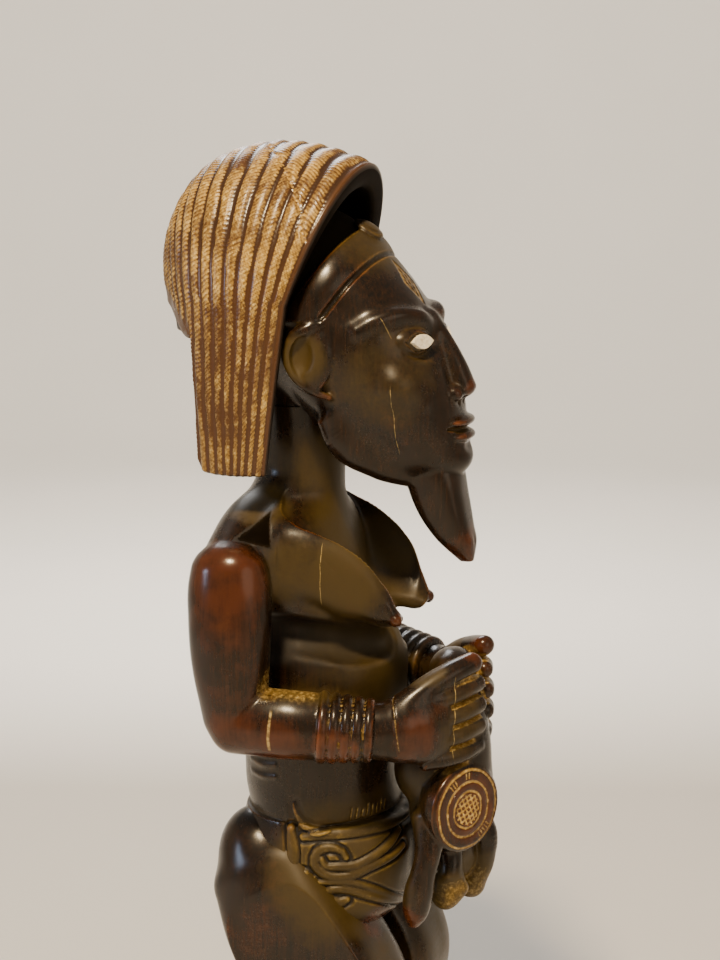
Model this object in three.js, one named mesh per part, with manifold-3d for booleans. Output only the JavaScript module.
// Standing wooden figure of a bearded man under a ribbed hood of hair.
// He holds a small four-limbed creature with a ringed disc in front of his belly.
// Millimetres, Z up, the figure faces -Y and its left hand is at +X.
import * as THREE from "three";
import { ParametricGeometry } from "three/addons/geometries/ParametricGeometry.js";
import Module from "manifold-3d";

const wasm = await Module();
wasm.setup();

// Driving sizes
const BASE_HEIGHT = 18;
const BASE_HALF_WIDTH = 52;
const BASE_HALF_DEPTH = 46;
const BASE_CENTRE_Y = -8;
const HEM_HEIGHT = 333.5;
const DOME_UNDERSIDE = 385;
const HOOD_THICKNESS = 9;
const HOOD_RIBS = 11;
const RIB_DEPTH = 0.9;
const LAPPET_SHARE = 0.7;
const LEFT_ARM_LIFT = 5.5;
const FINGER_PITCH = 8.3;
const FINGER_RADIUS = 4.4;
const CUFF_RINGS = 5;
const CUFF_LENGTH = 22;
const DISC_RADIUS = 17.5;
const DISC_TURN = 24;
const EYE_LINE = 384;
const EYE_LENGTH = 11;
const EYE_HEIGHT = 5.6;
const EYE_THICKNESS = 2.4;
const INLAY_GAP = 0.3;
const SLIVER = 0.45;

// Turning three.js shapes into closed solids

const solidFrom = (geometry) => {
  const position = geometry.getAttribute("position");
  const index = geometry.getIndex();
  const count = index ? index.count : position.count;
  const places = new Map();
  const vertices = [];
  const corner = (i) => {
    const n = index ? index.getX(i) : i;
    const point = [position.getX(n), position.getY(n), position.getZ(n)];
    const key = point.map((value) => Math.round(value * 2000)).join(",");
    if (!places.has(key)) {
      places.set(key, vertices.length / 3);
      vertices.push(...point);
    }
    return places.get(key);
  };
  const triangles = [];
  for (let i = 0; i < count; i += 3) {
    const [a, b, c] = [corner(i), corner(i + 1), corner(i + 2)];
    if (a !== b && b !== c && c !== a) triangles.push(a, b, c);
  }
  const build = (order) =>
    new wasm.Manifold(
      new wasm.Mesh({
        numProp: 3,
        vertProperties: new Float32Array(vertices),
        triVerts: new Uint32Array(order),
      }),
    );
  const body = build(triangles);
  if (body.volume() > 0) return body;
  const turned = [];
  for (let i = 0; i < triangles.length; i += 3) {
    turned.push(triangles[i], triangles[i + 2], triangles[i + 1]);
  }
  return build(turned);
};

const joined = (bodies) => bodies.reduce((sum, body) => sum.add(body));

const onBothSides = (shape) => [
  solidFrom(shape.clone()),
  solidFrom(shape.clone().scale(-1, 1, 1)),
];

// Smooth values between the rows of a table, read by their first number
const between = (rows) => {
  const width = rows[0].length - 1;
  const steps = rows.map((row) => row[0]);
  const values = rows.flatMap((row) => row.slice(1));
  const curve = new THREE.CubicInterpolant(steps, values, width, new Float64Array(width));
  return (step) => Array.from(curve.evaluate(step));
};

// A skin over closed rings, with a flat cap on each end
const skin = (rings, around) => {
  const middle = (ring) => {
    const sum = new THREE.Vector3();
    for (let i = 0; i < around; i++) sum.add(ring(i / around));
    return sum.divideScalar(around);
  };
  const first = middle(rings[0]);
  const last = middle(rings[rings.length - 1]);
  const all = [() => first, ...rings, () => last];
  const place = (u, v, target) => {
    const ring = all[Math.round(v * (all.length - 1))];
    const turn = Math.round(u * around) % around;
    target.copy(ring(turn / around));
  };
  return new ParametricGeometry(place, around, all.length - 1);
};

const rounded = (value, power) => Math.sign(value) * Math.abs(value) ** (2 / power);

// An upright form. Rows: height, middle Y, half width, half depth, squareness (2 is an ellipse)
const column = (rows, steps, around) => {
  const at = between(rows);
  const low = rows[0][0];
  const high = rows[rows.length - 1][0];
  const rings = [];
  for (let i = 0; i <= steps; i++) {
    const z = low + ((high - low) * i) / steps;
    const [middleY, halfWidth, halfDepth, power] = at(z);
    rings.push((turn) => {
      const angle = turn * 2 * Math.PI;
      const x = halfWidth * rounded(Math.cos(angle), power);
      const y = middleY + halfDepth * rounded(Math.sin(angle), power);
      return new THREE.Vector3(x, y, z);
    });
  }
  return skin(rings, around);
};

// A point on an upright form, "lift" outside its surface
const onForm = (rows, degrees, z, lift = 0) => {
  const [middleY, halfWidth, halfDepth, power] = between(rows)(z);
  const angle = THREE.MathUtils.degToRad(degrees);
  const x = (halfWidth + lift) * rounded(Math.cos(angle), power);
  return [x, middleY + (halfDepth + lift) * rounded(Math.sin(angle), power), z];
};

// A ridge laid on an upright form. Path: degrees and height of each point
const ridge = (rows, path, lift, halfHeight, thickness, steps, around) => {
  const points = path.map(([degrees, z]) => [
    ...onForm(rows, degrees, z, lift),
    halfHeight,
    thickness,
  ]);
  return limb(points, steps, around, Z_AXIS, [0, 0]);
};

// A form along a curve. Rows: x, y, z, half size along "across", half size at right angles.
// "tips" says how far each end bulges, as a share of its half size: 0 leaves it flat.
const X_AXIS = [1, 0, 0];
const Z_AXIS = [0, 0, 1];
const limb = (rows, steps, around, across = X_AXIS, tips = [0, 0.8]) => {
  const path = new THREE.CatmullRomCurve3(rows.map((row) => new THREE.Vector3(...row)));
  const sizeAt = between(rows.map((row, i) => [i / (rows.length - 1), row[3], row[4]]));
  const wanted = new THREE.Vector3(...across);
  const rings = [];
  const ring = (share, slide, scale) => {
    const centre = path.getPoint(share);
    const along = path.getTangent(share);
    const side = wanted.clone().addScaledVector(along, -wanted.dot(along)).normalize();
    const up = along.clone().cross(side);
    const [half, other] = sizeAt(share).map((size) => size * scale);
    centre.addScaledVector(along, slide);
    rings.push((turn) => {
      const angle = turn * 2 * Math.PI;
      return centre
        .clone()
        .addScaledVector(side, half * Math.cos(angle))
        .addScaledVector(up, other * Math.sin(angle));
    });
  };
  const reach = (share, tip) => Math.min(...sizeAt(share)) * tip;
  const leans = (around > 8 ? [40, 75] : [60]).map(THREE.MathUtils.degToRad);
  const first = tips[0] ? leans.toReversed() : [];
  const last = tips[1] ? leans : [];
  for (const lean of first) ring(0, -reach(0, tips[0]) * Math.sin(lean), Math.cos(lean));
  for (let i = 0; i <= steps; i++) ring(i / steps, 0, 1);
  for (const lean of last) ring(1, reach(1, tips[1]) * Math.sin(lean), Math.cos(lean));
  return skin(rings, around);
};

const ball = (centre, radii, around = 16, turn = [0, 0, 0]) => {
  const shape = new THREE.SphereGeometry(1, around, Math.round(around * 0.6));
  shape.scale(...radii);
  shape.rotateX(turn[0]);
  shape.rotateY(turn[1]);
  shape.rotateZ(turn[2]);
  return shape.translate(...centre);
};

const box = (low, high) => {
  const size = high.map((value, i) => value - low[i]);
  const shape = new THREE.BoxGeometry(...size);
  return shape.translate(...high.map((value, i) => (value + low[i]) / 2));
};

// Moves a shape so that its own Z points along "axis"
const aimed = (shape, centre, axis) => {
  const from = new THREE.Vector3(0, 0, 1);
  const turn = new THREE.Quaternion().setFromUnitVectors(from, axis.clone().normalize());
  return shape.applyQuaternion(turn).translate(...centre);
};

// Hood of hair
// Rows: share from the front rim to the back, crown Y, crown Z, half width, side Y, hem Y

const HOOD_ROWS = [
  [-0.1, -38, 443, 42, -13, 2],
  [0, -27.5, 448, 43, -6, 5],
  [0.2, -6, 455.5, 46, 5, 13],
  [0.4, 14, 458.5, 47, 17, 20],
  [0.6, 33, 455.5, 45, 30, 29],
  [0.7, 42, 451, 42, 36.5, 35],
  [0.8, 50.5, 443, 36, 43.5, 42],
  [0.9, 57.5, 432, 27, 51, 48],
  [0.97, 62, 421, 16, 58, 54],
  [1, 63.5, 411, 8, 61, 57],
];
const SPRING_HEIGHT = 398;
const SIDE_STEPS = 2;
const ARCH_STEPS = 12;
const hoodAt = between(HOOD_ROWS);

const arch = (share, inset, lowest) => {
  const [crownY, crownZ, halfWidth, sideY, hemY] = hoodAt(share);
  const points = [];
  const steps = SIDE_STEPS + ARCH_STEPS + SIDE_STEPS;
  for (let i = 0; i <= steps; i++) {
    const fromEnd = Math.min(i, steps - i);
    const side = i < steps / 2 ? 1 : -1;
    if (fromEnd < SIDE_STEPS) {
      const rise = fromEnd / SIDE_STEPS;
      const z = THREE.MathUtils.lerp(lowest, SPRING_HEIGHT, rise);
      const drop = (SPRING_HEIGHT - z) / (SPRING_HEIGHT - HEM_HEIGHT);
      const x = side * (halfWidth - inset) * (1 - 0.06 * drop ** 2);
      points.push(new THREE.Vector3(x, THREE.MathUtils.lerp(sideY, hemY, drop), z));
    } else {
      const angle = ((i - SIDE_STEPS) / ARCH_STEPS) * Math.PI;
      const lift = Math.sin(angle);
      const x = (halfWidth - inset) * Math.cos(angle);
      const z = SPRING_HEIGHT + (crownZ - SPRING_HEIGHT - inset) * lift;
      points.push(new THREE.Vector3(x, THREE.MathUtils.lerp(sideY, crownY, lift), z));
    }
  }
  return points;
};

const archRings = (stops) => {
  const around = SIDE_STEPS + ARCH_STEPS + SIDE_STEPS + 1;
  const rings = stops.map(([share, inset, lowest]) => {
    const points = arch(share, inset, lowest);
    return (turn) => points[Math.round(turn * around) % around];
  });
  return skin(rings, around);
};

const outerStops = [[0, 0, HEM_HEIGHT]];
for (let i = 0; i < 2 * HOOD_RIBS; i++) {
  const share = 0.03 + (0.96 * i) / (2 * HOOD_RIBS - 1);
  const lowest = share < LAPPET_SHARE ? HEM_HEIGHT : DOME_UNDERSIDE;
  outerStops.push([share, i % 2 ? 0 : RIB_DEPTH, lowest]);
}
const hoodOuter = solidFrom(archRings(outerStops));
const hollowStops = [-0.1, 0, 0.15, 0.3, 0.42].map((share) => [share, HOOD_THICKNESS, 325]);
const hoodHollow = solidFrom(archRings(hollowStops));
const napeGap = solidFrom(box([-38, -40, 320], [38, 80, DOME_UNDERSIDE - 1]));
const hood = hoodOuter.subtract(hoodHollow).subtract(napeGap);

// Head, neck and beard

const HEAD_ROWS = [
  [331, -49, 9, 9, 2],
  [336, -43, 15, 18, 2.1],
  [343, -35, 20, 26, 2.2],
  [352, -27, 25, 33, 2.2],
  [365, -20, 29.5, 36.5, 2.2],
  [380, -13.5, 32.5, 38.5, 2.2],
  [394, -7, 33, 38, 2.2],
  [408, 0, 31, 35, 2.2],
  [420, 5, 26.5, 29, 2.1],
  [430, 8, 19, 21, 2],
  [436, 10, 9, 10, 2],
];
const head = solidFrom(column(HEAD_ROWS, 12, 20));
const neck = solidFrom(
  column(
    [
      [296, 9, 24, 21, 2],
      [312, 8.5, 19.5, 18.5, 2],
      [328, 7.5, 18, 17, 2],
      [350, 7, 19, 18, 2],
      [392, 10, 24, 26, 2],
    ],
    6,
    16,
  ),
);
const beard = solidFrom(
  column(
    [
      [297, -61.5, 1.5, 2.5, 1.4],
      [301, -59.5, 6, 5.5, 1.4],
      [311, -54, 9, 9.5, 1.4],
      [322, -50, 11, 11.5, 1.4],
      [337, -47, 12, 12.5, 1.4],
    ],
    5,
    8,
  ),
);
const hairlinePath = [
  [-2, 389],
  [-16, 402],
  [-34, 411],
  [-62, 418],
  [-92, 420.5],
];
const hairlines = onBothSides(ridge(HEAD_ROWS, hairlinePath, 0.2, 3.4, 2.2, 7, 7));
const boss = solidFrom(ball([0, -25, 420.5], [5.5, 4, 6.5], 10, [0.5, 0, 0]));
const nose = solidFrom(
  limb(
    [
      [0, -45, 390, 4, 4],
      [0, -52, 378, 4.5, 5],
      [0, -58, 366, 7.5, 6],
      [0, -57.5, 362, 7, 4],
    ],
    5,
    10,
  ),
);
const browPath = [
  [-86, 392],
  [-68, 395],
  [-48, 394],
  [-26, 388],
];
const brows = onBothSides(ridge(HEAD_ROWS, browPath, -0.6, 3, 2.6, 5, 7));
const lips = [
  ball([0, -58.6, 352.4], [10.5, 4.6, 2.6], 9),
  ball([0, -59, 347], [9.5, 4.6, 2.8], 9),
  ball([0, -56, 339], [9, 6.5, 6], 9),
].map(solidFrom);
const ears = onBothSides(
  limb(
    [
      [31, -10, 369, 2.4, 2.4],
      [34, -3, 371, 2.8, 2.8],
      [35, 1.5, 380, 2.8, 2.8],
      [34.5, -2, 388, 2.8, 2.8],
      [33, -9, 388, 2.4, 2.4],
    ],
    7,
    8,
  ),
);

// Eyes: a socket, an eyeball of wood, and an almond inlay in its own recess

const almond = (grow, thickness) => {
  const half = EYE_LENGTH / 2 + grow;
  const bow = EYE_HEIGHT + 2 * grow;
  const shape = new THREE.Shape();
  shape.moveTo(-half, 0);
  shape.quadraticCurveTo(0, bow, half, 0);
  shape.quadraticCurveTo(0, -bow, -half, 0);
  const options = { depth: thickness, bevelEnabled: false, curveSegments: 6 };
  return new THREE.ExtrudeGeometry(shape, options);
};
const EYE_CENTRE = [15, -46.2, EYE_LINE];
const EYE_AXIS = [0.42, -0.88, 0.16];
const eyeShape = (shape, side) => {
  const toFace = new THREE.Matrix4().lookAt(
    new THREE.Vector3(...EYE_AXIS),
    new THREE.Vector3(),
    new THREE.Vector3(0, 0, 1),
  );
  return solidFrom(
    shape
      .applyMatrix4(toFace)
      .translate(...EYE_CENTRE)
      .scale(side, 1, 1),
  );
};
const sockets = onBothSides(ball([15.5, -53, EYE_LINE], [10.5, 5.5, 6.5], 10, [0.1, 0, 0.4]));
const eyeballs = onBothSides(ball([14.4, -43.2, EYE_LINE], [8.5, 5.6, 5.2], 10, [0, 0, 0.4]));
const recesses = [-1, 1].map((side) => eyeShape(almond(INLAY_GAP, 8), side));
const inlays = [-1, 1].map((side) => {
  const blank = almond(0, EYE_THICKNESS).translate(0, 0, INLAY_GAP);
  return eyeShape(blank, side);
});

// Trunk

const trunk = solidFrom(
  column(
    [
      [136, 2, 14, 12, 2],
      [146, 0, 27, 21, 2],
      [158, -3, 33, 27, 2],
      [178, -4, 34.5, 29, 2],
      [203, -1.5, 35, 31, 2.1],
      [225, -1.6, 35.5, 31.5, 2.1],
      [238, -1.5, 34.5, 33, 2.1],
      [262, 1, 33, 30.5, 2.1],
      [285, 7, 37, 27, 2.1],
      [303, 11, 40, 24, 2.2],
      [314, 11, 34, 20, 2.2],
      [323, 9, 20, 16, 2],
    ],
    14,
    22,
  ),
);
const chest = onBothSides(
  limb(
    [
      [27, 8, 311, 12, 11],
      [24, -9, 303, 14, 12],
      [22, -21, 290, 12, 11],
      [20, -32, 277, 6, 5.5],
    ],
    5,
    12,
  ),
);
const nipples = onBothSides(ball([20, -36.5, 272.5], [3.4, 3.6, 3.2], 8));
const yokes = onBothSides(
  limb(
    [
      [6, 14, 319, 10, 10],
      [22, 20, 313, 11, 12],
      [36, 21, 304, 12, 14],
      [46, 20, 294, 13, 14],
    ],
    4,
    10,
    Z_AXIS,
  ),
);

// Arms and hands. The left arm is held a little higher than the right.
// Each wrist has a cuff of turned rings, and the finger ends meet at the middle.

const cuffProfile = [new THREE.Vector2(0, 0)];
for (let i = 0; i < CUFF_RINGS; i++) {
  const pitch = CUFF_LENGTH / CUFF_RINGS;
  const radius = THREE.MathUtils.lerp(14.6, 12.6, i / (CUFF_RINGS - 1));
  cuffProfile.push(new THREE.Vector2(radius - 1.4, i * pitch));
  cuffProfile.push(new THREE.Vector2(radius, (i + 0.5) * pitch));
}
cuffProfile.push(new THREE.Vector2(11.2, CUFF_LENGTH), new THREE.Vector2(0, CUFF_LENGTH));

const arm = (side, lift) => {
  const shapes = [];
  const add = (...form) => shapes.push(limb(...form));
  add(
    [
      [46, 19, 297, 13, 15],
      [49, 18.5, 280, 13.5, 16.5],
      [49.5, 18, 258, 13, 15],
      [48, 17, 238, 12, 12.5],
    ],
    5,
    12,
    X_AXIS,
    [0.8, 0],
  );
  add(
    [
      [48, 18, 238, 11.5, 12.5],
      [46.5, -6, 238 + lift / 2, 12, 13.2],
      [42.5, -16, 237 + lift, 11.5, 12.6],
      [35.5, -37, 235.5 + lift, 9.5, 11],
      [31.5, -46, 235 + lift, 8.5, 11.5],
    ],
    6,
    12,
    X_AXIS,
    [0.8, 0],
  );
  const cuffRear = new THREE.Vector3(42.7, -15, 237 + lift);
  const cuffFront = new THREE.Vector3(35.8, -36, 235.5 + lift);
  const cuff = new THREE.LatheGeometry(cuffProfile, 10).rotateX(Math.PI / 2);
  shapes.push(aimed(cuff, cuffRear.toArray(), cuffFront.sub(cuffRear)));
  add(
    [
      [32, -44, 235 + lift, 7.5, 11.5],
      [26, -52, 235.5 + lift, 7.5, 14.5],
      [18, -57.5, 235.5 + lift, 6.5, 16],
    ],
    3,
    12,
  );
  for (let i = 0; i < 4; i++) {
    const z = 222.5 + i * FINGER_PITCH + lift;
    const bulge = 1 - Math.abs(i - 1.5) / 2;
    add(
      [
        [20, -57.5, z, FINGER_RADIUS, FINGER_RADIUS],
        [11, -63.5 - bulge, z + 0.5, FINGER_RADIUS, FINGER_RADIUS],
        [4, -66 - bulge, z + 1, FINGER_RADIUS - 0.6, FINGER_RADIUS - 0.4],
      ],
      2,
      6,
    );
  }
  add(
    [
      [27, -49, 246 + lift, 5, 5],
      [18, -57, 255 + lift, 5, 5],
      [8, -64, 258.5 + lift, 4.6, 4.6],
    ],
    4,
    8,
  );
  return joined(shapes.map((shape) => solidFrom(shape.scale(side, 1, 1))));
};
const arms = [arm(-1, 0), arm(1, LEFT_ARM_LIFT)];

// The creature in the hands: neck, body, four limbs, and a ringed disc on its front

const creature = [
  limb(
    [
      [0, -56, 252, 12, 9],
      [0, -60, 228, 13, 11],
      [0, -60, 206, 15, 13],
    ],
    4,
    14,
  ),
  ball([-5, -56, 196], [17, 15, 18], 12),
  limb(
    [
      [-21, -53, 192, 7, 7],
      [-25.5, -53, 176, 7.5, 7.5],
      [-25, -51, 160, 5.5, 5.5],
    ],
    4,
    10,
  ),
  limb(
    [
      [-9, -57, 182, 6.5, 6.5],
      [-10, -58.5, 168, 6, 6],
      [-10, -60, 157, 5, 5],
    ],
    3,
    8,
  ),
  limb(
    [
      [10, -60, 190, 8, 8],
      [11.5, -64, 176, 7, 7],
      [10, -62, 157, 5, 5],
    ],
    4,
    8,
  ),
  limb(
    [
      [17, -50, 192, 7, 7],
      [22, -50, 176, 7, 7],
      [21, -48, 160, 5.5, 5.5],
    ],
    4,
    8,
  ),
].map(solidFrom);
const discProfile = [
  [0, -12],
  [DISC_RADIUS, -12],
  [DISC_RADIUS, 0],
  [DISC_RADIUS - 1.5, 1.6],
  [DISC_RADIUS - 5, 1.6],
  [DISC_RADIUS - 5.8, 0.8],
  [DISC_RADIUS - 6.6, 1.6],
  [DISC_RADIUS - 9.6, 1.6],
  [DISC_RADIUS - 10.4, 0.8],
  [0, 0.8],
].map(([radius, height]) => new THREE.Vector2(radius, height));
const discLean = THREE.MathUtils.degToRad(DISC_TURN);
const disc = solidFrom(
  aimed(
    new THREE.LatheGeometry(discProfile, 18).rotateX(Math.PI / 2),
    [-13.5, -65.5, 200],
    new THREE.Vector3(-Math.sin(discLean), -Math.cos(discLean), 0),
  ),
);

// Loincloth, with two scrolls raised on each side

const CLOTH_ROWS = [
  [148, -5, 33, 27, 2.3],
  [154, -5, 37, 33, 2.3],
  [168, -5, 38.5, 36, 2.3],
  [184, -5, 38, 35.5, 2.3],
  [193, -4, 36, 32.5, 2.3],
];
const cloth = solidFrom(column(CLOTH_ROWS, 5, 24));
const SCROLL_STEPS = 12;
const scroll = (centreDegrees, centreZ, direction) => {
  const points = [];
  for (let i = 0; i <= 12; i++) {
    const share = i / 12;
    const angle = direction * (1.9 * Math.PI * (1 - share) - 0.5 * Math.PI);
    const radius = 2 + 4.5 * share;
    const degrees = centreDegrees + 1.7 * radius * Math.cos(angle);
    points.push([degrees, centreZ + radius * Math.sin(angle)]);
  }
  for (let i = 1; i <= 4; i++) {
    const z = centreZ - direction * (6.5 - 1.2 * i);
    points.push([centreDegrees - 9 * i, z]);
  }
  return ridge(CLOTH_ROWS, points, 0, 1.5, 1.5, SCROLL_STEPS, 4);
};
const scrolls = [...onBothSides(scroll(-24, 178, 1)), ...onBothSides(scroll(-22, 163, -1))];

// Legs, feet and the low base

const buttocks = onBothSides(ball([22, 14, 166], [20.5, 20, 28], 14, [-0.35, 0, 0]));
const thighs = onBothSides(
  limb(
    [
      [23, 8, 160, 19, 21],
      [25, -4, 141, 20.5, 24],
      [26, -17, 122, 19, 23],
      [26, -23, 110, 16, 17],
    ],
    5,
    14,
    X_AXIS,
    [0.8, 0.8],
  ),
);
const calves = onBothSides(
  limb(
    [
      [26, -20, 112, 16.5, 18],
      [27, -9, 88, 16.5, 18.5],
      [26.5, -2, 64, 14.5, 16.5],
      [26, 3, 40, 12, 12.5],
      [26, 4, 24, 12.5, 13],
      [26, 4, BASE_HEIGHT - 2, 12.5, 13],
    ],
    6,
    12,
    X_AXIS,
    [0, 0],
  ),
);
const feet = onBothSides(
  limb(
    [
      [26, 13, 25.5, 11, 9.5],
      [26.5, -4, 28, 12.5, 11],
      [28, -24, 23, 14.5, 7.5],
      [29, -36, 21.5, 14, 5.5],
    ],
    4,
    12,
  ),
);
const toes = [];
for (let i = 0; i < 5; i++) {
  const x = 17.4 + i * 5.6;
  const front = -43.5 + i * 1.5;
  toes.push(
    ...onBothSides(
      limb(
        [
          [x, front + 7, 22, 3.2, 3.8],
          [x, front, 21, 3, 3.4],
        ],
        1,
        5,
      ),
    ),
  );
}
const basePlan = new THREE.Shape();
basePlan.absellipse(0, BASE_CENTRE_Y, BASE_HALF_WIDTH - 2, BASE_HALF_DEPTH - 2, 0, 2 * Math.PI);
const base = solidFrom(
  new THREE.ExtrudeGeometry(basePlan, {
    depth: BASE_HEIGHT - 4,
    bevelThickness: 2,
    bevelSize: 2,
    bevelSegments: 1,
    curveSegments: 14,
  }).translate(0, 0, 2),
);

// One body of wood, and the two inlays

const carved = joined([
  hood,
  head,
  neck,
  beard,
  ...hairlines,
  boss,
  nose,
  ...brows,
  ...lips,
  ...ears,
])
  .subtract(joined(sockets))
  .add(joined(eyeballs))
  .add(joined([trunk, ...chest, ...nipples, ...yokes]))
  .add(joined(arms))
  .add(joined([...creature, disc, cloth, ...scrolls]))
  .add(joined([...buttocks, ...thighs, ...calves, ...feet, ...toes, base]));

const largest = (bodies) =>
  bodies.reduce((best, body) => (body.volume() > best.volume() ? body : best));
const outer = largest(carved.asOriginal().simplify(SLIVER).decompose());
const wood = outer.subtract(joined(recesses));

const meshFrom = (body, name, colour, roughness) => {
  const made = body.getMesh();
  const shape = new THREE.BufferGeometry();
  const points = new THREE.BufferAttribute(new Float32Array(made.vertProperties), made.numProp);
  shape.setAttribute("position", points);
  shape.setIndex(Array.from(made.triVerts));
  shape.computeVertexNormals();
  const material = new THREE.MeshStandardMaterial({ color: colour, roughness, metalness: 0 });
  const mesh = new THREE.Mesh(shape, material);
  mesh.name = name;
  return mesh;
};

const figure = new THREE.Group();
figure.add(
  meshFrom(wood, "figure", 0x3b2417, 0.35),
  meshFrom(inlays[0], "eye_inlay_right", 0xe6dfcf, 0.5),
  meshFrom(inlays[1], "eye_inlay_left", 0xe6dfcf, 0.5),
);

export default figure;
